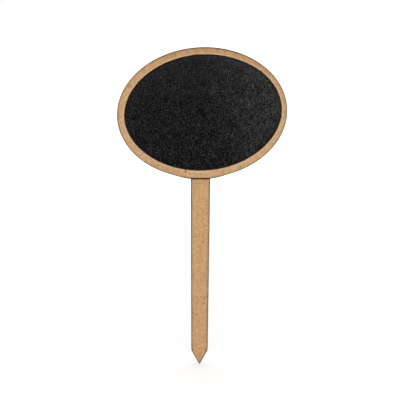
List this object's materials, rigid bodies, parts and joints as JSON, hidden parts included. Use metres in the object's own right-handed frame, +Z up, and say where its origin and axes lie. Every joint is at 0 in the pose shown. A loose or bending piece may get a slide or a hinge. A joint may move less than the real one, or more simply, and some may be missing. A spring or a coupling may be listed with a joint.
{
  "type": "mini chalkboard sign",
  "caption": "Oval mini chalkboard with a raised wooden rim, glued to a tapered pointed stake that is pushed into soil to label a plant.",
  "frame": {"origin": "level with the tip of the stake, below the middle of the sign's width and thickness", "axes": "+Z up along the stake, +Y from the chalkboard's face to the sign's back, +X to the right as the face is read"},
  "size_m": [0.0826, 0.0076, 0.1651],
  "materials": {
    "mdf": "bare smooth fibreboard with scorched cut edges",
    "chalkboard_paint": "matt black, fine tooth",
    "adhesive": "dried wood glue, semi-clear"
  },
  "bodies": {
    "root": {"rim_frame": "mdf", "rim_adhesive": "adhesive", "chalkboard_coat": "chalkboard_paint", "backing_board": "mdf", "stake_adhesive": "adhesive", "stake": "mdf"}
  },
  "joints": []
}
